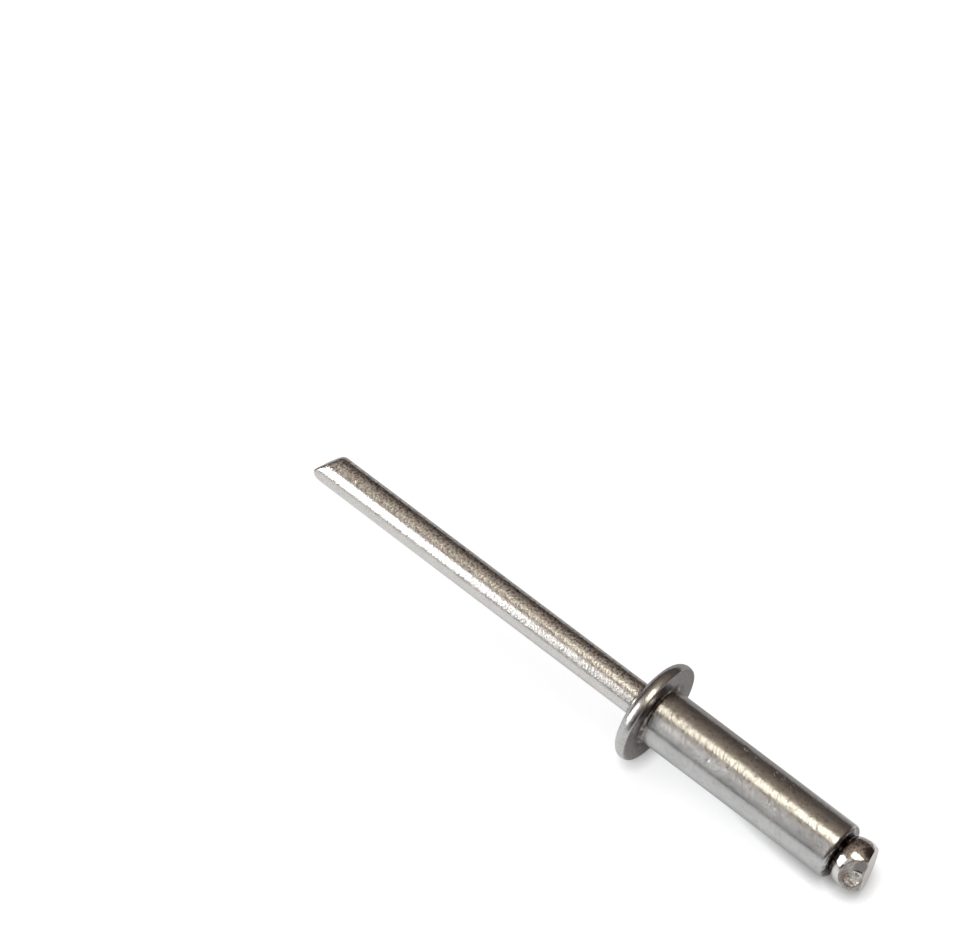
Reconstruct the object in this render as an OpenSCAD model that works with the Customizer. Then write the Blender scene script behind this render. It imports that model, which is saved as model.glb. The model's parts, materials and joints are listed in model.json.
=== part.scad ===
// Blind rivet, unset: a tubular body with a domed flange, and a ball-headed mandrel through its bore.
// Both pieces are drawn upright about one axis. The flange seat is at z = 0, the mandrel tip points
// up and the tail of the body points down. The rivet is then laid over, as it comes to rest on a
// level surface: on the side of the flange and on the tail of the shank.

/* [Rivet body] */
// Outer diameter of the shank
shank_d = 4.8; // [4.2:0.1:6]
// Length of the shank from the flange seat to the tail
shank_l = 18; // [8:0.5:30]
// Outer diameter of the domed flange
flange_d = 8.7; // [7.6:0.1:12]
// Height of the dome above the flange seat, measured on the axis
dome_h = 1.9; // [1.5:0.05:2.6]
// Radius of the rounded side of the flange
side_r = 0.8; // [0.55:0.05:0.95]
// Height above the flange seat at which the flange is widest
side_z = 0.4; // [0.25:0.05:0.5]
// Radius of the edge between the side of the flange and its seat
seat_r = 0.12; // [0.05:0.01:0.2]
// Radius of the fillet between the flange seat and the shank
root_r = 0.4; // [0.1:0.05:0.6]
// Radius of the outer edge at the tail of the shank
tail_r = 0.42; // [0.1:0.02:0.6]
// Radius of the bore edge at the dome and at the tail
mouth_r = 0.2; // [0.1:0.05:0.4]

/* [Mandrel] */
// Diameter of the mandrel wire
wire_d = 2.75; // [2.2:0.05:3.2]
// Gap all round between the wire and the bore
bore_gap = 0.17; // [0.05:0.01:0.25]
// Length of the wire from the flange seat to where the wide tip face crosses the axis
stem_l = 33.7; // [20:0.5:45]
// Diameter of the ball head
head_d = 4.17; // [3.8:0.01:4.6]
// Gap between the ball head and the rounded bore edge that it seats on
seat_gap = 0.03; // [0.01:0.01:0.2]
// Diameter left at the bottom of the break neck
neck_d = 2; // [1.4:0.05:2.1]
// Radius of the groove that forms the break neck
neck_r = 0.5; // [0.4:0.05:0.8]
// Distance from the tail of the body to the middle of the break neck, up the bore
neck_in = 1.2; // [1.1:0.05:2.5]

/* [Cropped ends] */
// Slope of the wide face at the tip, from square to the axis
tip_wide_slope = 37; // [20:1:50]
// Slope of the narrow face at the tip, from square to the axis
tip_narrow_slope = 30; // [20:1:50]
// Distance along the axis from the wide face at the tip to the narrow one
tip_step = 0.46; // [0:0.02:0.7]
// Turn of the tip faces about the axis
tip_roll = 28; // [-180:1:180]
// Slope of the wide face at the end of the head, from square to the axis
head_wide_slope = 50; // [40:1:60]
// Slope of the narrow face at the end of the head, from square to the axis
head_narrow_slope = 15; // [5:1:30]
// Distance from the centre of the ball to the wide face
head_wide_depth = 1.45; // [1.2:0.05:1.8]
// Distance from the centre of the ball to the narrow face
head_narrow_depth = 1.15; // [1:0.05:1.6]
// Turn of the wide face about the axis
head_wide_roll = -66; // [-180:1:180]
// Turn from the wide face to the narrow face about the axis
head_narrow_turn = 151; // [120:1:180]

/* [Hidden] */
$fn = 96;
shank_r = shank_d / 2;
wire_r = wire_d / 2;
bore_r = wire_r + bore_gap;
wall = shank_r - bore_r;
// The two edge radii at the tail share the wall, at most so much each, and leave a flat ring between
tail_share = 0.65;
mouth_share = 0.3;
tail_edge = min(tail_r, tail_share * wall);
mouth_edge = min(mouth_r, mouth_share * wall);

// The side of the flange is an arc about this point of the half section
side_at = flange_d / 2 - side_r;
// The dome is an arc about a point on the axis that runs into the side without a step
dome_rise = dome_h - side_z - side_r;
dome_r = (dome_rise * dome_rise + side_at * side_at) / (2 * dome_rise) + side_r;
dome_z = dome_h - dome_r;
dome_out = [side_at, side_z - dome_z] / (dome_r - side_r);
// The edge round touches both the seat and the side, and lies on this line from the side's centre
edge_at = side_at + sqrt(pow(side_r - seat_r, 2) - pow(side_z - seat_r, 2));
edge_out = [edge_at - side_at, seat_r - side_z] / (side_r - seat_r);
// Centre of the edge round between the bore and the dome, and the way from there to the dome
mouth_at = bore_r + mouth_edge;
mouth_z = dome_z + sqrt(pow(dome_r - mouth_edge, 2) - pow(mouth_at, 2));
mouth_out = [mouth_at, mouth_z - dome_z] / (dome_r - mouth_edge);

// The ball drops on to the rounded bore edge at the tail until the seat gap is left
head_r = head_d / 2;
head_drop = sqrt(pow(head_r + seat_gap + mouth_edge, 2) - pow(mouth_at, 2)) - mouth_edge;
head_z = -shank_l - head_drop;
head_narrow_roll = head_wide_roll + head_narrow_turn;
// The cutting blocks are larger than any end that they crop
crop_size = 3 * head_d;

// Slope of a line that touches the flange's side and another round of radius edge, centred at r and z
function touch_slope(r, z, edge) =
    let (fall = side_at - r, run = side_z - z)
    atan2(fall, run) + asin((side_r - edge) / norm([fall, run]));
// The rivet tips towards its tail until the tail edge or the ball meets the surface
tail_slope = touch_slope(shank_r - tail_edge, tail_edge - shank_l, tail_edge);
head_slope = touch_slope(0, head_z, head_r);
rest_tilt = min(tail_slope, head_slope);

// Lay the upright rivet over, with the tip towards -X and the tail towards +X
module lying() {
    rotate([0, rest_tilt - 90, 0]) children();
}

// The sliver between a square corner and its round, with the corner at the origin
module corner(r) {
    difference() {
        square(r);
        translate([r, r]) circle(r);
    }
}

// Half section of the flange: seat, edge round, rounded side and dome
module flange_section() {
    square([edge_at, side_z]);
    translate([edge_at, seat_r]) circle(seat_r);
    intersection() {
        translate([side_at, side_z]) circle(side_r);
        polygon([
            [side_at, side_z],
            [side_at, side_z] + 2 * side_r * edge_out,
            [side_at + 2 * side_r, side_z],
            [side_at, side_z] + 2 * side_r * dome_out
        ]);
    }
    intersection() {
        translate([0, dome_z]) circle(dome_r);
        polygon([
            [0, side_z],
            [side_at, side_z],
            [side_at, side_z] + 2 * side_r * dome_out,
            [0, 2 * dome_h]
        ]);
    }
}

// Half section of the bore, with the round that opens it into the dome
module bore_section() {
    translate([0, -2 * shank_l]) square([bore_r, 2 * shank_l + 2 * dome_h]);
    difference() {
        polygon([
            [0, mouth_z],
            [mouth_at, mouth_z],
            [mouth_at, mouth_z] + 2 * mouth_edge * mouth_out,
            [0, 2 * dome_h]
        ]);
        translate([mouth_at, mouth_z]) circle(mouth_edge);
    }
    translate([bore_r, -shank_l]) corner(mouth_edge);
}

// Half section of the body: flange, filleted root, shank and rounded tail
module body_section() {
    difference() {
        union() {
            flange_section();
            translate([0, -shank_l]) square([shank_r, shank_l]);
            translate([shank_r, 0]) mirror([0, 1]) corner(root_r);
        }
        translate([shank_r, -shank_l]) mirror([1, 0]) corner(tail_edge);
        bore_section();
    }
}

// All that lies beyond a sloping face that crosses the axis at the given height
module crop(height, slope, roll) {
    rotate([0, 0, roll]) translate([0, 0, height]) rotate([0, slope, 0])
        translate([-crop_size / 2, -crop_size / 2, 0]) cube(crop_size);
}

// Wire cut a diameter too long, with the groove of the break neck, then cropped to a wedge at the tip
module wire() {
    difference() {
        translate([0, 0, head_z]) cylinder(d = wire_d, h = stem_l + wire_d - head_z);
        translate([0, 0, neck_in - shank_l]) rotate_extrude()
            translate([neck_d / 2 + neck_r, 0]) circle(neck_r);
        crop(stem_l, tip_wide_slope, tip_roll);
        crop(stem_l + tip_step, tip_narrow_slope, tip_roll + 180);
    }
}

// Ball with two sloping faces cropped on its far side
module head() {
    translate([0, 0, head_z]) mirror([0, 0, 1]) difference() {
        sphere(d = head_d);
        crop(head_wide_depth / cos(head_wide_slope), head_wide_slope, head_wide_roll);
        crop(head_narrow_depth / cos(head_narrow_slope), head_narrow_slope, head_narrow_roll);
    }
}

// Tubular body with its domed flange
module rivet_body() {
    color([0.70, 0.69, 0.66]) lying() rotate_extrude() body_section();
}

// Drawn wire with a break neck, a ball head and two pinch-cropped ends
module mandrel() {
    color([0.74, 0.71, 0.66]) lying() union() {
        wire();
        head();
    }
}

rivet_body();
mandrel();
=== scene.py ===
# %% [markdown]
# # An unset blind rivet, dressed for its picture
# A blind rivet is two pieces of steel on one axis: a tubular body with a domed flange, and a wire mandrel
# through its bore, with a ball head at the tail and a cropped tip. The solids come from the CAD frame. Here
# both pieces are modelled again as fine smooth meshes of the same form, with the nicks, worn edges and torn
# faces of the real thing, and get a steel finish each. Then come the table top, the lamps and the camera.

# %% Load the frame
import json
import math
import random

import bmesh
import bpy
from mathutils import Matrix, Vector


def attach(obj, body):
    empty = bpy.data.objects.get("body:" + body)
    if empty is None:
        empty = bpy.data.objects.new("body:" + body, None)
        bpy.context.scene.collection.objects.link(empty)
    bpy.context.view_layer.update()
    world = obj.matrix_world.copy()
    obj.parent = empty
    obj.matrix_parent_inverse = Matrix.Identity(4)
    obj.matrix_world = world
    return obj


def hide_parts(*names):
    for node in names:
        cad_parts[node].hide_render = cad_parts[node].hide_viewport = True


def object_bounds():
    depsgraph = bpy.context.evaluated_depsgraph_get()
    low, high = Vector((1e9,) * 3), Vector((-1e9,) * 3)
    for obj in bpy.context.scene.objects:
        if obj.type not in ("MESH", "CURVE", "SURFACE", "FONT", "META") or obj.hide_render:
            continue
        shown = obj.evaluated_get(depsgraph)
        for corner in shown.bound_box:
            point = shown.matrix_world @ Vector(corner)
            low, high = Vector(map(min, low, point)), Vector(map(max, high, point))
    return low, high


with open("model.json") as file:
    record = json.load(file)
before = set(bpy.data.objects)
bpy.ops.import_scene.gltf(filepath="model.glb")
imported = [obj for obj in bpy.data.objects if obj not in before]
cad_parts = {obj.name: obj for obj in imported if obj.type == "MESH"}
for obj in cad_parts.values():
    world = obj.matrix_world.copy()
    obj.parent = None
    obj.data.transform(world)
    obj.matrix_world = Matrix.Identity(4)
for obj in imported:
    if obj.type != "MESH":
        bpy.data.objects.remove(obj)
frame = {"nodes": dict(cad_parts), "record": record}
cad_low, cad_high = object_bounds()
mounts = {mount["name"]: mount for mount in frame["record"]["mounts"]}


def in_mm(*corners):
    """The numbers of some corners, in millimetres and rounded for printing."""
    return [round(1000 * number, 3) for corner in corners for number in corner]


print("frame:", sorted(frame["nodes"]), "box in mm:", in_mm(cad_low, cad_high))

# %% [markdown]
# ## The axis of the rivet
# The rivet lies on the side of its flange and on its tail, so its axis is a few degrees off level. The seat
# mount of the flange tells its direction. Every piece is modelled upright, with the seat at z = 0 and the
# tip pointing up, as on a lathe, and is laid over in one turn when it is done.

# %% The resting turn
MM = 0.001
tail_way = Vector(mounts["flange_seat"]["axis"])
rest_tilt = math.asin(-tail_way.z / tail_way.length)
lay_turn = rest_tilt - math.pi / 2
print("rest tilt in degrees:", round(math.degrees(rest_tilt), 3))

# %% [markdown]
# ## Helpers for working by hand
# Three small habits keep modelling with operators safe. Only one piece is in edit mode at a time, nothing is
# selected when work on it starts, and vertices are picked by where they are.

# %% Edit mode and picking
def start_edit(piece):
    """Edit mode on one piece alone, with nothing selected in it."""
    if bpy.context.mode != "OBJECT":
        bpy.ops.object.mode_set(mode="OBJECT")
    bpy.ops.object.select_all(action="DESELECT")
    piece.select_set(True)
    bpy.context.view_layer.objects.active = piece
    bpy.ops.object.mode_set(mode="EDIT")
    bpy.ops.mesh.select_mode(type="VERT")
    bpy.ops.mesh.select_all(action="DESELECT")


def end_edit():
    """Back to object mode."""
    bpy.ops.object.mode_set(mode="OBJECT")


def pick(piece, test):
    """Selects the vertices in edit mode whose place, in millimetres, passes a test, and counts them."""
    shape = bmesh.from_edit_mesh(piece.data)
    count = 0
    for vertex in shape.verts:
        chosen = test(vertex.co / MM)
        vertex.select_set(chosen)
        count += chosen
    shape.select_flush(True)
    bmesh.update_edit_mesh(piece.data)
    return count


print("work starts in mode", bpy.context.mode)

# %% [markdown]
# ## Turned forms
# Both pieces are round about the axis, so each starts as a half section that is spun all the way round. Arcs
# of the section are followed exactly, in short steps, so that the polished rounds mirror without facets. A
# bevel could round the corners as well, but wouldn't run a dome into its side without a step.

# %% Half sections
def arc(centre, radius, start, end, step):
    """Points along an arc of a half section, angles in degrees from straight out, millimetres apart by step."""
    count = max(2, math.ceil(abs(math.radians(end - start)) * radius / step))
    angles = [math.radians(start + (end - start) * i / count) for i in range(count + 1)]
    return [(centre[0] + radius * math.cos(a), centre[1] + radius * math.sin(a)) for a in angles]


def line(start, end, step):
    """Points along a straight stretch of a half section, millimetres apart by step."""
    rounding = 1e-6
    count = max(1, math.ceil(math.dist(start, end) / step - rounding))
    return [tuple(s + (e - s) * i / count for s, e in zip(start, end)) for i in range(count + 1)]


print("a quarter round of 1 mm, in steps of 0.1 mm, has", len(arc((0, 0), 1, 0, 90, 0.1)), "points")

# %% [markdown]
# The section begins as one vertex: a small plane that is merged at its middle. It is moved to the first point
# and extruded from point to point. The spin closes on itself, so its doubles are merged and its normals are
# recalculated.

# %% Spinning
same_point = 1e-7


def spin_section(name, section, steps):
    """A new upright piece, spun from the points of its half section."""
    points = [Vector((r * MM, 0, z * MM)) for r, z in section]
    befores = [None] + points
    points = [p for p, before in zip(points, befores) if before is None or (p - before).length > same_point]
    bpy.ops.object.select_all(action="DESELECT")
    bpy.ops.mesh.primitive_plane_add(size=MM, location=(0, 0, 0))
    piece = bpy.context.object
    piece.name = piece.data.name = name
    start_edit(piece)
    bpy.ops.mesh.select_all(action="SELECT")
    bpy.ops.mesh.merge(type="CENTER")
    bpy.ops.transform.translate(value=points[0])
    for before, after in zip(points, points[1:]):
        bpy.ops.mesh.extrude_region_move(TRANSFORM_OT_translate={"value": after - before})
    bpy.ops.mesh.select_all(action="SELECT")
    bpy.ops.mesh.spin(steps=steps, angle=math.tau, center=(0, 0, 0), axis=(0, 0, 1))
    bpy.ops.mesh.select_all(action="SELECT")
    bpy.ops.mesh.remove_doubles(threshold=2 * same_point)
    bpy.ops.mesh.normals_make_consistent(inside=False)
    end_edit()
    print(name, "spun from", len(points), "points to", len(piece.data.polygons), "faces")
    return piece


print("points closer than", same_point, "m count as one")

# %% [markdown]
# ## The tubular body
# The body is cold headed from one slug: a dome that runs into a rounded side, a crisp edge, a flat seat, a
# small fillet, then the straight shank and a rounded tail. The shank and the wire take their radii from the
# mounts. The other sizes are those of the solids, in millimetres. Flange and shank stay a hair inside them.

# %% Sizes of the body
hair = 0.001
shank_r = mounts["shank"]["dims"]["r_mm"] - hair
wire_r = mounts["mandrel_grip"]["dims"]["r_mm"]
shank_l = 18.0
flange_r = 4.348
dome_h = 1.9
side_r, side_z, seat_r = 0.8, 0.4, 0.12
root_r = 0.4
tail_r = 0.42
mouth_r = 0.2
bore_gap = 0.17
bore_r = wire_r + bore_gap
print("shank radius:", shank_r, "bore radius:", bore_r, "wire radius:", wire_r)

# %% [markdown]
# The arcs of the flange touch each other, so their centres and ends follow from those sizes. The dome's centre
# lies on the axis, the edge round touches both the side and the seat, and the mouth of the bore meets the dome.

# %% Arcs of the flange
side_at = flange_r - side_r
dome_rise = dome_h - side_z - side_r
dome_r = (dome_rise**2 + side_at**2) / (2 * dome_rise) + side_r
dome_z = dome_h - dome_r
edge_at = side_at + math.sqrt((side_r - seat_r) ** 2 - (side_z - seat_r) ** 2)
edge_turn = -math.degrees(math.atan2(side_z - seat_r, edge_at - side_at))
mouth_at = bore_r + mouth_r
mouth_z = dome_z + math.sqrt((dome_r - mouth_r) ** 2 - mouth_at**2)
dome_start = math.degrees(math.atan2(mouth_z - dome_z, mouth_at))
dome_end = math.degrees(math.atan2(side_z - dome_z, side_at))
print("dome radius:", round(dome_r, 3), "from", round(dome_start, 1), "to", round(dome_end, 1), "degrees")

# %% Spin the body
# Each stretch ends with its step: fine on the rounds, coarse in the bore, and even on the shank for the nicks
body_section = (
    line((bore_r, mouth_r - shank_l), (bore_r, mouth_z), 1.0)
    + arc((mouth_at, mouth_z), mouth_r, 180, dome_start, 0.04)
    + arc((0, dome_z), dome_r, dome_start, dome_end, 0.11)
    + arc((side_at, side_z), side_r, dome_end, edge_turn, 0.07)
    + arc((edge_at, seat_r), seat_r, edge_turn, -90, 0.03)
    + line((edge_at, 0), (shank_r + root_r, 0), 0.12)
    + arc((shank_r + root_r, -root_r), root_r, 90, 180, 0.06)
    + line((shank_r, -root_r), (shank_r, tail_r - shank_l), 0.1)
    + arc((shank_r - tail_r, tail_r - shank_l), tail_r, 0, -90, 0.04)
    + line((shank_r - tail_r, -shank_l), (mouth_at, -shank_l), 0.05)
    + arc((mouth_at, mouth_r - shank_l), mouth_r, -90, -180, 0.04)
)
body = spin_section("rivet_body_steel", body_section, steps=240)

# %% [markdown]
# ## Nicks from the barrel
# Rivets are tumbled in bulk, and each one knocks small nicks into the others. A bump in the material could
# draw them, but a dent that is really there catches the light from every side. So a nick is pushed in by hand:
# the vertices of a small oblong spot are grabbed and moved inwards, and proportional editing takes their
# neighbours along.

# %% A press for nicks
wall_share = 0.9
pull = 1.4


def press(piece, radius, along, roll, long, wide, depth, lean=60):
    """Presses an oblong nick into a round wall, at a height along the axis and a turn from the top.

    The half length, half width and depth are in millimetres, and lean is the slant from the axis in degrees.
    What lies farther in than wall_share of the radius isn't grabbed. Neighbours up to pull half widths away
    come along.
    """
    turn, slant = math.radians(roll), math.radians(lean)
    out = Vector((math.cos(turn), math.sin(turn), 0))

    def inside(p):
        if p.x * out.x + p.y * out.y < wall_share * radius or abs(p.z - along) > long:
            return False
        rise, sideways = p.z - along, out.x * p.y - out.y * p.x
        lengthwise = rise * math.cos(slant) + sideways * math.sin(slant)
        crosswise = sideways * math.cos(slant) - rise * math.sin(slant)
        return (lengthwise / long) ** 2 + (crosswise / wide) ** 2 < 1

    count = pick(piece, inside)
    if count:
        bpy.ops.transform.translate(
            value=-out * depth * MM,
            use_proportional_edit=True,
            proportional_edit_falloff="SMOOTH",
            proportional_size=pull * wide * MM,
        )
    return count


print("a nick takes its neighbours along over", pull, "half widths")

# %% [markdown]
# Most nicks slant the same way round the shank. A few sit where they catch the light, and the others are strewn
# with a fixed seed.

# %% Press the nicks
# Height along the axis, turn from the top, half length, half width and depth of the nicks in plain view
seen_nicks = [
    (-10.6, 20, 0.24, 0.12, 0.09), (-11.24, 23, 0.18, 0.11, 0.08), (-12.2, 20, 0.26, 0.12, 0.09),
    (-8.54, 19, 0.18, 0.11, 0.08), (-7.5, 26, 0.18, 0.11, 0.07), (-5.9, -41, 0.12, 0.08, 0.02),
]
strewn_count, strewn_width, strewn_depth_share = 30, 0.08, 0.06
dice = random.Random(7)
strewn_nicks = []
for _ in range(strewn_count):
    half = dice.uniform(0.10, 0.22)
    along, roll = dice.uniform(-17, -0.8), dice.uniform(-180, 180)
    strewn_nicks.append((along, roll, half, strewn_width, half * strewn_depth_share))
start_edit(body)
grabbed = [press(body, shank_r, *nick) for nick in seen_nicks + strewn_nicks]
end_edit()
print("nicks pressed into the shank:", len(grabbed), "with", sum(grabbed), "vertices")

# %% [markdown]
# ## The mandrel
# The mandrel is drawn wire. Its ball is headed on at the tail end, and just inside the body a groove leaves a
# neck where it will break. Wire, groove and ball share one half section, which ends square at the tip for now.
# The ball rests against the mouth of the bore with a small gap, which gives its centre.

# %% Sizes of the mandrel
stem_l = 33.7
tip_step = 0.46
head_r = 2.085
seat_gap = 0.03
head_z = -shank_l + mouth_r - math.sqrt((head_r + seat_gap + mouth_r) ** 2 - mouth_at**2)
neck_r, neck_in, neck_left = 0.5, 1.2, 1.0
neck_z = neck_in - shank_l
neck_at = neck_left + neck_r
neck_turn = math.degrees(math.acos((neck_at - wire_r) / neck_r))
neck_top = neck_z + neck_r * math.sin(math.radians(180 - neck_turn))
head_start = math.degrees(math.acos(wire_r / head_r))
print("ball centre at", round(head_z, 3), "and neck at", round(neck_z, 2), "mm from the seat")

# %% Spin the mandrel
# The wall just below the tip is set with close rings, which the cropped faces will need
tip_rings, ring_gap = 20, 0.1
rings_end = stem_l - tip_rings * ring_gap
mandrel_section = (
    line((0, stem_l), (wire_r, stem_l), 0.065)
    + line((wire_r, stem_l), (wire_r, rings_end), ring_gap)
    + line((wire_r, rings_end), (wire_r, dome_h), 0.14)
    + line((wire_r, dome_h), (wire_r, neck_top), 1.0)
    + arc((neck_at, neck_z), neck_r, 180 - neck_turn, 180 + neck_turn, 0.1)
    + arc((0, head_z), head_r, head_start, -90, 0.06)
)
mandrel = spin_section("mandrel_steel", mandrel_section, steps=168)

# %% [markdown]
# ## The cropped tip
# The wire was pinched off between two blades, which leaves a wide and a narrow face that meet in a ridge. A
# boolean cut would leave long thin faces there, which mirror badly. So the wide face is made by leaning the
# rings of the wire over, each one more than the one below it. A leaning ring is stretched down the slope as
# well, so that it stays on the wall of the wire.

# %% Lean the rings over to the wide face
def face_way(slope, roll):
    """The direction that a cropped face looks in, by its slope from square to the axis and its turn."""
    s, r = math.radians(slope), math.radians(roll)
    return Vector((math.sin(s) * math.cos(r), math.sin(s) * math.sin(r), math.cos(s)))


tip_slope, tip_roll = 37, 28
same_height, wall_depth = 0.01, 0.015
level = Vector((0, 1, 0))
start_edit(mandrel)
for ring in range(tip_rings, 0, -1):
    height = stem_l - (tip_rings - ring) * ring_gap
    centre = (0, 0, height * MM)
    lean = math.atan(math.tan(math.radians(tip_slope)) * ring / tip_rings)
    innermost = 0 if ring == tip_rings else wire_r - wall_depth
    pick(mandrel, lambda p: abs(p.z - height) < same_height and math.hypot(p.x, p.y) >= innermost)
    bpy.ops.transform.rotate(value=-lean, orient_axis="Y", orient_type="GLOBAL", center_override=centre)
    slope_way = Vector((math.cos(lean), 0, -math.sin(lean)))
    bpy.ops.transform.resize(
        value=(1 / math.cos(lean), 1, 1),
        orient_type="NORMAL",
        orient_matrix=(slope_way, level, slope_way.cross(level)),
        orient_matrix_type="NORMAL",
        constraint_axis=(True, False, False),
        center_override=centre,
    )
end_edit()
tip_spot = Vector((0, 0, stem_l))
tops = [v.co / MM for v in mandrel.data.vertices if v.co.z > (stem_l - wire_r) * MM]
wall_off = max(math.hypot(p.x, p.y) for p in tops) - wire_r
face_off = max((p - tip_spot).dot(face_way(tip_slope, 0)) for p in tops)
print("tip leaned over: wall off by", round(wall_off, 5), "mm, wide face off by", round(face_off, 5), "mm")

# %% [markdown]
# The narrow face is pressed flat instead. A bisect marks its outline, and all that stands beyond it is scaled
# to nothing along the direction that the face looks in. The ball needs the same for its faces, so this is a
# helper. Then the whole mandrel is turned about its axis, until the tip slopes the way that it should.

# %% Press the narrow face flat
def press_flat(piece, spot, way, near):
    """Marks the outline of a flat face and scales all that stands beyond it on to the face."""
    above = 1e-4
    pick(piece, near)
    bpy.ops.mesh.bisect(plane_co=spot * MM, plane_no=way, threshold=same_point)
    beyond = pick(piece, lambda p: near(p) and (p - spot).dot(way) > above)
    side = way.orthogonal().normalized()
    bpy.ops.transform.resize(
        value=(1, 1, 0),
        orient_type="NORMAL",
        orient_matrix=(side, way.cross(side), way),
        orient_matrix_type="NORMAL",
        constraint_axis=(False, False, True),
        center_override=spot * MM,
    )
    return beyond


tip_narrow_slope, tip_reach = 30, 1.5
tip_spot_narrow = Vector((0, 0, stem_l + tip_step))
start_edit(mandrel)
way = face_way(tip_narrow_slope, 180)
count = press_flat(mandrel, tip_spot_narrow, way, lambda p: p.z > stem_l - tip_reach)
end_edit()
mandrel.rotation_euler = (0, 0, math.radians(tip_roll))
bpy.ops.object.transform_apply(location=False, rotation=True, scale=False)
tip_wide, tip_narrow = face_way(tip_slope, tip_roll), face_way(tip_narrow_slope, tip_roll + 180)
print("narrow tip face:", count, "vertices pressed flat, tip turned by", tip_roll, "degrees")

# %% [markdown]
# ## The cropped head
# The far side of the ball was cropped in the same way, to a wide face and a narrow one. Both are pressed flat.

# %% Press the faces of the head flat
head_centre = Vector((0, 0, head_z))
head_reach = 0.5


def head_way(slope, roll):
    """As face_way, but looking down the axis, out of the tail."""
    way = face_way(slope, roll)
    return Vector((way.x, way.y, -way.z))


wide_way, narrow_way = head_way(slope=50, roll=-66), head_way(slope=15, roll=85)
wide_depth, narrow_depth = 1.45, 1.15
wide_spot, narrow_spot = head_centre + wide_way * wide_depth, head_centre + narrow_way * narrow_depth
start_edit(mandrel)
for spot, way in ((wide_spot, wide_way), (narrow_spot, narrow_way)):
    count = press_flat(mandrel, spot, way, lambda p: p.z < head_z + head_reach)
    print("head face:", count, "vertices pressed flat")
end_edit()

# %% [markdown]
# ## A second finish for the cropped faces
# Torn steel is duller than drawn steel, so the faces of the four crops get a material slot of their own. They
# are assigned now, while they are flat and easy to pick.

# %% Assign the cropped faces
mandrel_finish = bpy.data.materials.new("mandrel_finish")
cropped_finish = bpy.data.materials.new("cropped_finish")
mandrel.data.materials.append(mandrel_finish)
mandrel.data.materials.append(cropped_finish)
crops = [(tip_spot, tip_wide), (tip_spot_narrow, tip_narrow), (wide_spot, wide_way), (narrow_spot, narrow_way)]
crop_depth = 0.004
start_edit(mandrel)
bpy.ops.mesh.select_mode(type="FACE")
shape = bmesh.from_edit_mesh(mandrel.data)
for face in shape.faces:
    middle = face.calc_center_median() / MM
    face.select_set(any((middle - spot).dot(way) > -crop_depth for spot, way in crops))
bmesh.update_edit_mesh(mandrel.data)
mandrel.active_material_index = 1
bpy.ops.object.material_slot_assign()
end_edit()
print("cropped faces:", sum(face.material_index == 1 for face in mandrel.data.polygons))

# %% [markdown]
# ## Torn steel
# The blades sheared the first part of the wide face smooth, then the rest broke away and left a hollow with a
# rough floor. Places on the face are counted in millimetres from its middle, towards the tail and across it.
# A tear is an oval that is moved inwards, with proportional editing for its soft sides.

# %% A tool for tearing
face_tail = (Vector((0, 0, -1)) - wide_way * -wide_way.z).normalized()
face_cross = face_tail.cross(wide_way)
face_reach = 0.6


def on_face(p):
    """A place on the wide face, counted from its middle towards the tail and across."""
    return (p - wide_spot).dot(face_tail), (p - wide_spot).dot(face_cross)


def face_spot(tail, cross):
    """Where on the rivet a place on the wide face is."""
    return wide_spot + face_tail * tail + face_cross * cross


def sink(centre, radii, depth, soft, turn):
    """Sinks an oval of the wide face by a depth, with soft sides of the given width, in millimetres."""
    c, s = math.cos(math.radians(turn)), math.sin(math.radians(turn))

    def inside(p):
        if (p - wide_spot).dot(wide_way) < -face_reach or p.z > head_z + head_reach:
            return False
        a, b = on_face(p)
        a, b = a - centre[0], b - centre[1]
        return ((a * c + b * s) / radii[0]) ** 2 + ((b * c - a * s) / radii[1]) ** 2 < 1

    count = pick(mandrel, inside)
    bpy.ops.transform.translate(
        value=-wide_way * depth * MM,
        use_proportional_edit=True,
        proportional_edit_falloff="SHARP",
        proportional_size=soft * MM,
    )
    return count


print("middle of the wide face, in mm:", [round(v, 2) for v in wide_spot])

# %% [markdown]
# The hollow comes first, then two deeper pits in it, the gash where it starts, a short tear beside that, and
# five scores beyond it. At last the floor of the hollow is roughened, by moving each of its vertices a little.

# %% Tear the wide face of the head
hollow_at, gash_at = (-0.26, 0.40), (-0.08, -0.36)
# Middle, half lengths, depth, width of the soft sides, and turn in degrees
tears = [
    (hollow_at, (0.68, 0.72), 0.14, 0.14, 20),
    ((-0.45, 0.2), (0.3, 0.2), 0.05, 0.10, 40),
    ((-0.1, 0.62), (0.32, 0.2), 0.05, 0.10, 10),
    (gash_at, (0.36, 0.10), 0.22, 0.06, 0),
    ((0.0, 0.05), (0.26, 0.08), 0.06, 0.08, 30),
]
scores = [(0.45, 0.35), (0.55, 0.6), (0.7, 0.45), (0.35, 0.95), (0.6, 0.85)]
tears += [(spot, (0.32, 0.05), 0.03, 0.07, 60) for spot in scores]
floor_r, floor_low, floor_high, floor_rough = 0.74, -0.4, -0.05, 0.04
start_edit(mandrel)
torn = [sink(*tear) for tear in tears]
rough = pick(mandrel, lambda p: floor_low < (p - wide_spot).dot(wide_way) < floor_high
             and math.dist(on_face(p), hollow_at) < floor_r)
bpy.ops.transform.vertex_random(offset=floor_rough * MM, uniform=0, normal=1, seed=3)
end_edit()
print("torn face:", sum(torn), "vertices sunk, rough floor:", rough, "vertices")

# %% [markdown]
# ## Worn edges
# Blades drag the steel along and tumbling wears what stands out, so no cropped edge stays sharp. A bevel would
# give every edge the same round. Here the vertices beside the edges are picked by how close they are to two
# surfaces at once, and are smoothed a few times.

# %% Pick beside the edges
near_ridge, near_tip, near_head = 0.8, 1.6, 0.6


def depth_below(p, crop):
    """How far a place lies below a cropped face, in millimetres."""
    spot, way = crop
    return (spot - p).dot(way)


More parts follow.
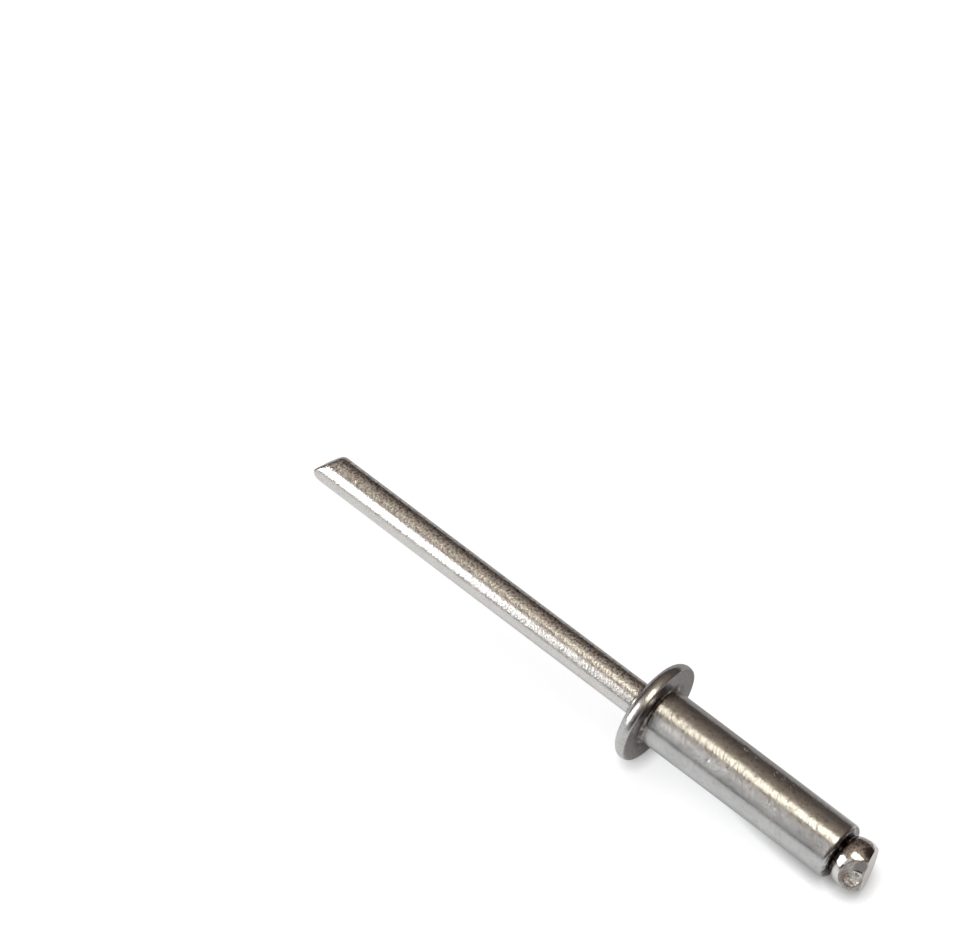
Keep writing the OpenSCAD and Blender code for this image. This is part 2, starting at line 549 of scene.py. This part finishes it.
def beside_tip_ridge(p, reach):
    """Whether a place near the tip is beside the ridge between its two faces."""
    return p.z > stem_l - near_ridge and max(depth_below(p, crops[0]), depth_below(p, crops[1])) < reach


def beside_tip_edge(p, reach):
    """Whether a place near the tip is beside the ridge or the rim of a face."""
    if p.z < stem_l - near_tip:
        return False
    low = sorted((depth_below(p, crops[0]), depth_below(p, crops[1]), wire_r - math.hypot(p.x, p.y)))
    return low[1] < reach


def beside_head_edge(p, reach):
    """Whether a place on the ball is beside the ridge or the rim of a face."""
    if p.z > head_z + near_head:
        return False
    low = sorted((depth_below(p, crops[2]), depth_below(p, crops[3]), head_r - (p - head_centre).length))
    return low[1] < reach


print("edges are looked for", near_tip, "mm down from the tip, and on the lower part of the ball")

# %% [markdown]
# The ridge at the tip is worn most. Round its rim the reach shrinks from pass to pass, so that the wear fades out
# evenly into the wall.

# %% Wear the cropped edges
# The edge, how far from it in millimetres, and how many times it is smoothed
wear = [(beside_tip_ridge, 0.4, 40)]
wear += [(beside_tip_edge, reach, 2) for reach in (0.3, 0.26, 0.22, 0.18, 0.14, 0.1)]
wear += [(beside_head_edge, 0.1, 5)]
start_edit(mandrel)
for beside, reach, rounds in wear:
    count = pick(mandrel, lambda p: beside(p, reach))
    bpy.ops.mesh.vertices_smooth(factor=0.5, repeat=rounds)
    print("edge vertices worn:", count)
end_edit()

# %% [markdown]
# The wire has been through the barrel as well, so it gets small nicks of its own.

# %% Nick the wire
wire_nicks, nick_width, nick_depth_share = 34, 0.09, 0.08
start_edit(mandrel)
for _ in range(wire_nicks):
    half = dice.uniform(0.12, 0.24)
    along, roll = dice.uniform(2.5, 31.5), dice.uniform(-180, 180)
    press(mandrel, wire_r, along, roll, half, nick_width, half * nick_depth_share)
end_edit()
print("mandrel:", len(mandrel.data.polygons), "faces")

# %% [markdown]
# ## Lay the pieces over
# Both pieces turn over together about the centre of the seat, and the turn is applied, so that their place is
# in their mesh, as it is in the CAD nodes that they stand for. Faces that meet at less than the crease angle
# are shaded as one smooth surface.

# %% Lay over, ride and replace
crease = math.radians(42)
for piece, node, slot in ((body, "rivet_body", "body_steel"), (mandrel, "mandrel", "mandrel_steel")):
    start_edit(piece)
    bpy.ops.mesh.select_all(action="SELECT")
    bpy.ops.mesh.normals_make_consistent(inside=False)
    end_edit()
    piece.rotation_euler = (0, lay_turn, 0)
    bpy.ops.object.transform_apply(location=False, rotation=True, scale=False)
    bpy.ops.object.shade_smooth_by_angle(angle=crease)
    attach(piece, "root")
    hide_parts(node)
    print(piece.name, "laid over, box in mm:", in_mm(piece.bound_box[0], piece.bound_box[6]))

# %% [markdown]
# ## Where on the rivet
# The finishes follow the rivet, not the room: marks slant round the shank, and painted shade sits in corners. So
# one node group turns the object's own coordinates upright again and tells, in millimetres, the place along the
# axis, the turn round it and the distance from it. First come three helpers that keep node work short.

# %% Node helpers
def put(tree, kind, settings=None, inputs=None):
    """A new node with its settings, and its inputs set to values or linked to the sockets given for them."""
    item = tree.nodes.new(kind)
    for key, value in (settings or {}).items():
        setattr(item, key, value)
    for key, value in (inputs or {}).items():
        if isinstance(value, bpy.types.NodeSocket):
            tree.links.new(value, item.inputs[key])
        else:
            item.inputs[key].default_value = value
    return item


def maths(tree, operation, *values):
    """The result of one sum with numbers or sockets."""
    return put(tree, "ShaderNodeMath", {"operation": operation}, dict(enumerate(values))).outputs[0]


def new_group(name, inputs, outputs):
    """An empty shader node group with number inputs and the named outputs, and its two end nodes."""
    tree = bpy.data.node_groups.new(name, "ShaderNodeTree")
    for label in inputs:
        tree.interface.new_socket(label, in_out="INPUT", socket_type="NodeSocketFloat")
    for label, kind in outputs:
        tree.interface.new_socket(label, in_out="OUTPUT", socket_type=kind)
    return tree, tree.nodes.new("NodeGroupInput"), tree.nodes.new("NodeGroupOutput")


print("node groups so far:", len(bpy.data.node_groups))

# %% The place on the rivet
NUMBER, VECTOR = "NodeSocketFloat", "NodeSocketVector"
to_mm = (1000, 1000, 1000)
place_group, _, ends = new_group(
    "place_on_rivet", [], [("Upright", VECTOR), ("Along", NUMBER), ("Around", NUMBER), ("Out", NUMBER)]
)
own = put(place_group, "ShaderNodeTexCoord")
upright = put(place_group, "ShaderNodeMapping", {"vector_type": "POINT"}, {
    "Vector": own.outputs["Object"], "Rotation": (0, -lay_turn, 0), "Scale": to_mm})
parts = put(place_group, "ShaderNodeSeparateXYZ", None, {0: upright.outputs[0]})
around = maths(place_group, "ARCTAN2", parts.outputs["Y"], parts.outputs["X"])
flat = put(place_group, "ShaderNodeCombineXYZ", None, {"X": parts.outputs["X"], "Y": parts.outputs["Y"]})
out = put(place_group, "ShaderNodeVectorMath", {"operation": "LENGTH"}, {0: flat.outputs[0]})
for label, socket in (("Upright", upright.outputs[0]), ("Along", parts.outputs["Z"]),
                      ("Around", around), ("Out", out.outputs["Value"])):
    place_group.links.new(socket, ends.inputs[label])
print("node group:", place_group.name)

# %% [markdown]
# ## Tumbled steel
# Tumbling leaves two kinds of marks: short fine scratches that slant round the piece, and a dense small
# speckle. Both are noise, one stretched along the slant and one left even. The scratches are laid out on the
# unrolled surface, for which the distance out is added to the place along, so that they cross flat faces too.

# %% Marks of the barrel
marks_group, given, ends = new_group(
    "barrel_marks", ["Radius", "Grain"], [("Scratches", NUMBER), ("Speckle", NUMBER), ("Clouds", NUMBER)]
)


def noise(tree, place, scale, detail, roughness):
    """A noise value at a place, by the number of its waves to a millimetre and its finer detail."""
    return put(tree, "ShaderNodeTexNoise", None, {
        "Vector": place, "Scale": scale, "Detail": detail, "Roughness": roughness}).outputs[0]


place = put(marks_group, "ShaderNodeGroup", {"node_tree": place_group}).outputs
length = maths(marks_group, "ADD", place["Along"], place["Out"])
girth = maths(marks_group, "MULTIPLY", place["Around"], given.outputs["Radius"])
unrolled = put(marks_group, "ShaderNodeCombineXYZ", None, {"X": length, "Y": girth})
slanted = put(marks_group, "ShaderNodeMapping", {"vector_type": "TEXTURE"}, {
    "Vector": unrolled.outputs[0], "Rotation": (0, 0, math.radians(60)), "Scale": (1.4, 0.16, 1)})
for label, value in (
    ("Scratches", noise(marks_group, slanted.outputs[0], 1.0, 2.0, 0.55)),
    ("Speckle", noise(marks_group, place["Upright"], given.outputs["Grain"], 3.0, 0.6)),
    ("Clouds", noise(marks_group, place["Upright"], 0.7, 2.0, 0.5)),
):
    marks_group.links.new(value, ends.inputs[label])
print("node group:", marks_group.name)

# %% [markdown]
# ## Painted shade in the corners
# Shade is painted dark into the corners: in the fillet under the flange, round the mouths of the bore and in
# the gap between the tail and the ball. A corner is a band along the axis times a band out from it. Noise
# breaks the painted shade up into patches.

# %% Painted shade mask
def ramp(tree, value, start, end, low=0.0, high=1.0):
    """A soft step of a number, from low at the start to high at the end, and even beyond them."""
    return put(tree, "ShaderNodeMapRange", {"interpolation_type": "SMOOTHSTEP"}, {
        "Value": value, "From Min": start, "From Max": end, "To Min": low, "To Max": high}).outputs[0]


def corner(place, along, out):
    """A mask for one corner: it sets in and fades out along the axis, and sets in towards it."""
    masks = [ramp(corner_shade_group, place["Along"], *along[:2]), ramp(corner_shade_group, place["Along"], *along[2:])]
    band = maths(corner_shade_group, "MULTIPLY", *masks)
    return maths(corner_shade_group, "MULTIPLY", band, ramp(corner_shade_group, place["Out"], *out))


corner_shade_group, _, ends = new_group("grime_in_corners", [], [("Grime", NUMBER)])
place = put(corner_shade_group, "ShaderNodeGroup", {"node_tree": place_group}).outputs
# Painted shade: each corner mask darkens the colour where shade falls in a crevice
root = corner(place, (-0.6, -0.15, 0.1, 0.02), (3.2, 2.6))
tail = corner(place, (-17.78, -17.88, -18.7, -18.4), (2.36, 2.26))
mouth = corner(place, (1.2, 1.6, 2.2, 1.95), (2.1, 1.6))
corners = maths(corner_shade_group, "MAXIMUM", maths(corner_shade_group, "MAXIMUM", root, tail), mouth)
patches = ramp(corner_shade_group, noise(corner_shade_group, place["Upright"], 1.6, 3.0, 0.6), 0.25, 0.6)
broken = maths(corner_shade_group, "MULTIPLY", corners, patches)
corner_shade_group.links.new(broken, ends.inputs["Grime"])
print("node group:", corner_shade_group.name)

# %% [markdown]
# ## Helpers for the finishes
# Every finish starts from the same place and marks, blends colours by masks, and tilts the mirror image with a
# bump that follows two kinds of marks. So these steps are written once.

# %% Start, blend, span and bump
def start_finish(material):
    """Turns on the nodes of a finish, and gives its tree, its shader's inputs and the place on the rivet."""
    material.use_nodes = True
    tree = material.node_tree
    place = put(tree, "ShaderNodeGroup", {"node_tree": place_group})
    return tree, tree.nodes["Principled BSDF"].inputs, place.outputs


def barrel_marks(tree, radius, grain):
    """The marks of the barrel on a wall of a radius, with the number of specks to a millimetre."""
    return put(tree, "ShaderNodeGroup", {"node_tree": marks_group}, {"Radius": radius, "Grain": grain}).outputs


def blend(tree, factor, first, second):
    """A colour between two, by a mask."""
    return put(tree, "ShaderNodeMix", {"data_type": "RGBA"}, {0: factor, 6: first, 7: second}).outputs[2]


def span(tree, value, low, high, start=0.3, end=0.7):
    """A number stretched to run between two others. The start and end are those of most noise."""
    return put(tree, "ShaderNodeMapRange", None, {
        "Value": value, "From Min": start, "From Max": end, "To Min": low, "To Max": high}).outputs[0]


def bumps(tree, first, second, share, distance, strength=1.0):
    """A normal that follows two kinds of marks, the second one with a share of the first one's height."""
    height = maths(tree, "MULTIPLY_ADD", second, share, first)
    return put(tree, "ShaderNodeBump", None, {
        "Strength": strength, "Height": height, "Distance": distance}).outputs[0]


print("node groups:", [group.name for group in bpy.data.node_groups])

# %% [markdown]
# ## The steel of the body
# The body is satin steel with a little dust in its speckle, laid thicker on the upper side as painted shade, and
# with painted brown shade in its corners.
# The flat seat under the flange gets a dull mauve oxide colour, partly painted shade for the dark floor that it
# mirrors.

# %% Colour of the body
pale, paler, dust_and_shade = (0.49, 0.495, 0.495, 1), (0.55, 0.555, 0.555, 1), (0.34, 0.325, 0.31, 1)
dark_oxide_and_shade, light_oxide_and_shade, corner_shade_brown = (0.24, 0.22, 0.22, 1), (0.42, 0.39, 0.385, 1), (0.1, 0.078, 0.07, 1)
body_finish = bpy.data.materials.new("body_finish")
tree, skin, place = start_finish(body_finish)
skin["Metallic"].default_value = 1
marks = barrel_marks(tree, shank_r, grain=3.2)
steel = blend(tree, span(tree, marks["Clouds"], 0, 1), pale, paler)
sides = put(tree, "ShaderNodeSeparateXYZ", None, {0: place["Upright"]})
# Dust specks, laid thicker on the upper side, which darkens that side as painted shade
dust_and_shade_side = ramp(tree, sides.outputs["X"], 1.5, 2.2, 0.4, 1.0)
dots = maths(tree, "MULTIPLY", span(tree, marks["Speckle"], 0, 0.9, 0.5, 0.7), dust_and_shade_side)
specked = blend(tree, dots, steel, dust_and_shade)
# Oxide on the seat, partly painted shade for the dark floor that the seat mirrors
on_seat = ramp(tree, maths(tree, "ABSOLUTE", place["Along"]), 0.05, 0.015)
oxide_and_shade = blend(tree, span(tree, marks["Speckle"], 0, 1), dark_oxide_and_shade, light_oxide_and_shade)
dull = blend(tree, on_seat, specked, oxide_and_shade)
# Painted shade: the corners of the body are painted dark brown
corner_shade = put(tree, "ShaderNodeGroup", {"node_tree": corner_shade_group})
tree.links.new(blend(tree, corner_shade.outputs[0], dull, corner_shade_brown), skin["Base Color"])
print("colour of", body_finish.name, "from", len(tree.nodes), "nodes")

# %% [markdown]
# Scratches and speckle both tilt the mirror image by a degree or two, and the clouds vary how sharp it is.

# %% Gloss of the body
tree.links.new(span(tree, marks["Clouds"], 0.22, 0.28), skin["Roughness"])
normal = bumps(tree, marks["Scratches"], marks["Speckle"], share=1.2, distance=0.9e-5)
tree.links.new(normal, skin["Normal"])
body.data.materials.append(body_finish)
print("finish:", body_finish.name)

# %% [markdown]
# ## The steel of the mandrel
# The wire is brighter and a little warmer than the body, and its speckle is finer, from the drawing. Dark dust
# lies in the speckle, thickest on the upper far side as painted shade, and two painted dark reflections lie on
# the ball.

# %% Colour of the mandrel
bright, brighter, dark_dust_and_shade = (0.72, 0.712, 0.692, 1), (0.77, 0.762, 0.742, 1), (0.2, 0.18, 0.165, 1)
wire_corner_shade, facet_dark_reflection = (0.12, 0.1, 0.09, 1), (0.1, 0.085, 0.08, 1)


def distance_to(tree, place, spot):
    """How far a place is from a spot."""
    return put(tree, "ShaderNodeVectorMath", {"operation": "DISTANCE"}, {0: place, 1: spot}).outputs["Value"]


def patch(tree, place, spot, far, near, most=1.0):
    """A soft round patch about a spot: nothing at the far distance from it, and most at the near one."""
    return ramp(tree, distance_to(tree, place["Upright"], spot), far, near, 0.0, most)


tree, skin, place = start_finish(mandrel_finish)
marks = barrel_marks(tree, wire_r, grain=5.2)
steel = blend(tree, span(tree, marks["Clouds"], 0, 1), bright, brighter)
sides = put(tree, "ShaderNodeSeparateXYZ", None, {0: place["Upright"]}).outputs
# Dark dust specks, thickest on the upper far side, which darkens that side as painted shade
upper = ramp(tree, sides["X"], 0.6, 1.2, 0.2, 1.0)
farther = ramp(tree, sides["Y"], -0.25, 0.3, 0.55, 1.0)
dust_and_shade_side = maths(tree, "MULTIPLY", upper, farther)
dots = maths(tree, "MULTIPLY", span(tree, marks["Speckle"], 0, 1, 0.47, 0.6), dust_and_shade_side)
specked = blend(tree, dots, steel, dark_dust_and_shade)
# Painted shade: the corners of the wire and the ball are painted dark
corner_shade = put(tree, "ShaderNodeGroup", {"node_tree": corner_shade_group})
shaded_wire = blend(tree, corner_shade.outputs[0], specked, wire_corner_shade)
# Painted dark reflections: two dark patches on the ball stand in for small facets that mirror the dark room
for spot, far, near in (((1.29, -1.63, -19.2), 0.3, 0.12), ((1.86, 0.42, -20.14), 0.62, 0.35)):
    shaded_wire = blend(tree, patch(tree, place, spot, far, near, 0.85), shaded_wire, facet_dark_reflection)
tree.links.new(shaded_wire, skin["Base Color"])
print("colour of", mandrel_finish.name, "from", len(tree.nodes), "nodes")

# %% [markdown]
# A thin pale haze in the speckle isn't metal, so it shows the light of the room evenly. One side of the wire is
# rubbed free of it. The ball has none, and its marks are the finest, since a polished die pressed it.

# %% Gloss of the mandrel
on_ball = ramp(tree, place["Along"], -17.0, -18.2)
haze = span(tree, marks["Speckle"], 0.64, 0.94, 0.38, 0.6)
rubbed = maths(tree, "MAXIMUM", on_ball, ramp(tree, sides["Y"], -0.1, 0.5))
bare = put(tree, "ShaderNodeMix", {"data_type": "FLOAT"}, {0: rubbed, 2: haze, 3: 1.0})
tree.links.new(bare.outputs[0], skin["Metallic"])
wire_gloss, ball_gloss = span(tree, marks["Clouds"], 0.17, 0.23), 0.18
gloss = put(tree, "ShaderNodeMix", {"data_type": "FLOAT"}, {0: on_ball, 2: wire_gloss, 3: ball_gloss})
tree.links.new(gloss.outputs[0], skin["Roughness"])
fainter = span(tree, on_ball, 1.0, 0.25, 0, 1)
normal = bumps(tree, marks["Speckle"], marks["Scratches"], share=0.45, distance=1.7e-5, strength=fainter)
tree.links.new(normal, skin["Normal"])
print("finish:", mandrel_finish.name)

# %% [markdown]
# ## The cropped faces
# A sheared face is dull and streaked along the way that the blade went. It is painted darkest where the blade
# rubbed it smooth, a painted dark reflection, and the narrow face of the head is painted the lightest of them, a
# painted reflection. Places are found by their distance from a spot, or by how high they stand in the direction
# that a face looks in.

# %% Sheared steel
dark_shear, light_shear = (0.22, 0.205, 0.19, 1), (0.5, 0.48, 0.46, 1)
narrow_painted_light, smooth_dark_reflection = (0.74, 0.72, 0.68, 1), (0.17, 0.165, 0.16, 1)


def stand(tree, place, way):
    """How high a place stands in a direction."""
    return put(tree, "ShaderNodeVectorMath", {"operation": "DOT_PRODUCT"}, {
        0: place["Upright"], 1: way}).outputs["Value"]


tree, skin, place = start_finish(cropped_finish)
skin["Metallic"].default_value = 1
skin["Roughness"].default_value = 0.42
marks = barrel_marks(tree, wire_r, grain=4.6)
sheared = put(tree, "ShaderNodeMapping", {"vector_type": "TEXTURE"}, {
    "Vector": place["Upright"], "Rotation": (0.6, 0.2, 0.9), "Scale": (0.9, 0.12, 0.12)})
streaks = noise(tree, sheared.outputs[0], 1.0, 3.0, 0.6)
steel = blend(tree, span(tree, streaks, 0, 1), dark_shear, light_shear)
narrow_level = narrow_spot.dot(narrow_way)
# Painted reflection: the narrow face is painted lighter than the other sheared faces
on_narrow = span(tree, stand(tree, place, narrow_way), 0.0, 0.8, narrow_level - 0.08, narrow_level - 0.03)
steel = blend(tree, on_narrow, steel, narrow_painted_light)
# Painted dark reflection: the smooth part of the wide face is painted darkest
smooth = patch(tree, place, face_spot(-0.04, -0.9), 0.68, 0.42, 0.7)
steel = blend(tree, smooth, steel, smooth_dark_reflection)
print("sheared steel of", cropped_finish.name, "from", len(tree.nodes), "nodes")

# %% [markdown]
# The hollow that broke away is fresh steel, painted light, with near-white crumbs as painted glints. A brown
# stain lies at one side of it, where grease burnt in, and the gash where it starts is painted black in its depth
# as shade.

# %% Torn steel
dull_crumb, crumb_glint = (0.55, 0.53, 0.5, 1), (0.98, 0.96, 0.93, 1)
brown, gash_shade = (0.2, 0.14, 0.09, 1), (0.03, 0.026, 0.024, 1)
# Painted light: the hollow is painted light, and its near-white crumbs are painted glints
crumbs_and_glints = blend(tree, span(tree, marks["Speckle"], 0, 1, 0.4, 0.6), dull_crumb, crumb_glint)
hollow = patch(tree, place, face_spot(-0.22, 0.38), 0.85, 0.6, 0.85)
fresh_and_lit = blend(tree, hollow, steel, crumbs_and_glints)
stain = patch(tree, place, face_spot(-0.88, 0.35), 0.75, 0.2, 0.7)
stained = blend(tree, stain, fresh_and_lit, brown)
# Painted shade: the depth of the gash is painted black
wide_level = wide_spot.dot(wide_way)
deep = span(tree, stand(tree, place, wide_way), 0.0, 0.9, wide_level - 0.2, wide_level - 0.26)
gash = maths(tree, "MULTIPLY", deep, patch(tree, place, face_spot(*gash_at), 0.58, 0.46))
tree.links.new(blend(tree, gash, stained, gash_shade), skin["Base Color"])
normal = bumps(tree, streaks, marks["Speckle"], share=0.8, distance=3e-5)
tree.links.new(normal, skin["Normal"])
print("finish:", cropped_finish.name)

# %% [markdown]
# ## The table top
# The rivet lies on a white sheet that is lit from below as well, as on a light table, so the background is
# white and the shadow stays soft. A brighter lamp could make the sheet white too, but would wash out the steel.

# %% White sheet
bpy.ops.object.select_all(action="DESELECT")
bpy.ops.mesh.primitive_plane_add(size=4, location=(0, 0, cad_low.z))
sheet = bpy.context.object
sheet.name = "white_sheet"
print("sheet at", round(1000 * cad_low.z, 3), "mm")

# %% [markdown]
# In the steel the glow of the sheet is weaker behind the rivet and fades with distance, which is painted shade in
# the mirror image, so that its sides mirror a bright floor in front and a greyer one at the back. Close under the
# rivet the glow is darkened by ambient occlusion, a painted contact shadow, in the picture only at the very
# contact and in the steel a little farther out.

# %% Glow of the sheet, with painted shade
behind_spot, behind_glow, front_glow = (-12, 34, 0), 0.12, 0.62
camera_glow, far_share = 0.78, 0.35
contact_reach, mirrored_reach = 0.0012, 0.003
paper = bpy.data.materials.new("white_paper")
paper.use_nodes = True
tree = paper.node_tree
tree.nodes.clear()
own = put(tree, "ShaderNodeTexCoord")
sized = put(tree, "ShaderNodeMapping", None, {"Vector": own.outputs["Object"], "Scale": to_mm})
# Painted shade in the mirror image: the glow seen in the steel is weaker behind the rivet and far off
near = ramp(tree, distance_to(tree, sized.outputs[0], behind_spot), 30, 40, behind_glow, front_glow)
fade = ramp(tree, distance_to(tree, sized.outputs[0], (0, 0, 0)), 45, 110, 1.0, far_share)
rays = put(tree, "ShaderNodeLightPath").outputs
mirrored = maths(tree, "MAXIMUM", rays["Is Glossy Ray"], rays["Is Transmission Ray"])
in_steel = maths(tree, "MULTIPLY", mirrored, maths(tree, "MULTIPLY", near, fade))
share = maths(tree, "MULTIPLY_ADD", rays["Is Camera Ray"], camera_glow, in_steel)
# Painted contact shadow: ambient occlusion darkens the sheet's glow close under the rivet
reach = span(tree, mirrored, contact_reach, mirrored_reach, 0, 1)
painted_contact_shade = put(tree, "ShaderNodeAmbientOcclusion", {"samples": 4}, {"Distance": reach})
strength = maths(tree, "MULTIPLY", share, painted_contact_shade.outputs["AO"])
glow = put(tree, "ShaderNodeEmission", None, {"Color": (0.97, 0.985, 1, 1), "Strength": strength})
matt = put(tree, "ShaderNodeBsdfDiffuse", None, {"Color": (0.52, 0.52, 0.52, 1)})
both = put(tree, "ShaderNodeAddShader", None, {0: glow.outputs[0], 1: matt.outputs[0]})
put(tree, "ShaderNodeOutputMaterial", None, {"Surface": both.outputs[0]})
sheet.data.materials.append(paper)
print("finish:", paper.name)

# %% [markdown]
# ## Lamps
# Bright steel shows what is round it. A warm panel hangs overhead, a white window stands close on the left, and a
# narrow grey panel stands in front. A broad soft fill from above lights the sheet evenly, and isn't mirrored
# itself. The other three are only mirrored.

# %% Lamps
def panel(name, place, aim, width, height, glow, colour):
    """A flat lamp of the given width and height, turned to a point, with an even glow where it is mirrored."""
    lamp = bpy.data.lights.new(name, "AREA")
    lamp.shape = "RECTANGLE"
    lamp.size, lamp.size_y = width, height
    lamp.energy = 4 * glow * width * height
    lamp.color = colour
    holder = bpy.data.objects.new(name, lamp)
    bpy.context.scene.collection.objects.link(holder)
    holder.location = place
    holder.rotation_euler = (Vector(aim) - Vector(place)).to_track_quat("-Z", "Y").to_euler()
    holder.visible_camera = False
    return holder


overhead = panel("overhead_panel", place=(0.08, -0.0235, 0.25), aim=(0.08, -0.0235, 0),
                 width=0.236, height=0.112, glow=2.5, colour=(1, 0.94, 0.78))
window = panel("left_window", place=(-0.1205, -0.1232, 0.098), aim=(-0.080, -0.0322, 0.098),
               width=0.116, height=0.156, glow=3.6, colour=(1, 1, 0.99))
grey = panel("grey_panel", place=(-0.075, -0.4, 0.42), aim=(-0.075, 0, 0.42),
             width=0.21, height=0.75, glow=0.34, colour=(0.97, 1, 1))
fill = panel("soft_fill", place=(0, 0, 0.9), aim=(0, 0, 0),
             width=1.2, height=1.2, glow=0.9, colour=(0.95, 0.98, 1))
fill.visible_glossy = False
overhead.visible_diffuse = window.visible_diffuse = grey.visible_diffuse = False

# %% [markdown]
# The room itself is brown, dark at the horizon and lighter overhead, which gives the steel its warm darks.

# %% Room
world = bpy.context.scene.world or bpy.data.worlds.new("room")
bpy.context.scene.world = world
world.use_nodes = True
room = world.node_tree.nodes["Background"]
heading = put(world.node_tree, "ShaderNodeTexCoord")
rise = put(world.node_tree, "ShaderNodeSeparateXYZ", None, {0: heading.outputs["Generated"]})
walls = put(world.node_tree, "ShaderNodeValToRGB", None, {0: rise.outputs["Z"]})
walls.color_ramp.elements[0].color = (0.08, 0.062, 0.053, 1)
walls.color_ramp.elements[1].color = (0.42, 0.34, 0.26, 1)
for stop, colour in ((0.5, (0.14, 0.112, 0.095, 1)), (0.75, (0.25, 0.2, 0.165, 1))):
    walls.color_ramp.elements.new(stop).color = colour
world.node_tree.links.new(walls.outputs[0], room.inputs["Color"])
bpy.context.scene.view_settings.view_transform = "Standard"
print("room colours:", len(walls.color_ramp.elements))

# %% [markdown]
# ## Camera
# The camera looks down from the front right through a long lens, which keeps the far tip nearly as large as the
# near tail. It is aimed a little above and to the left of the seat, so that the rivet lies low in the picture.

# %% Place the camera
view_turn, view_height, view_distance = math.radians(40.0458), math.radians(51.8929), 0.61056
aim_up, aim_left = 18.44998, 13.44353
focal_pixels, image_width = 8000, 966
right = Vector((math.cos(view_turn), math.sin(view_turn), 0))
back = Vector((
    math.sin(view_turn) * math.cos(view_height),
    -math.cos(view_turn) * math.cos(view_height),
    math.sin(view_height),
))
up = back.cross(right)
aim = (aim_up * up - aim_left * right) * MM
lens = bpy.data.cameras.new("camera")
lens.sensor_width = 36
lens.lens = focal_pixels / image_width * lens.sensor_width
lens.clip_start, lens.clip_end = 0.01, 10
camera = bpy.data.objects.new("camera", lens)
bpy.context.scene.collection.objects.link(camera)
camera.location = aim + back * view_distance
camera.rotation_euler = (-back).to_track_quat("-Z", "Y").to_euler()
bpy.context.scene.camera = camera
print("lens:", round(lens.lens, 1), "mm, camera at", [round(v, 4) for v in camera.location])
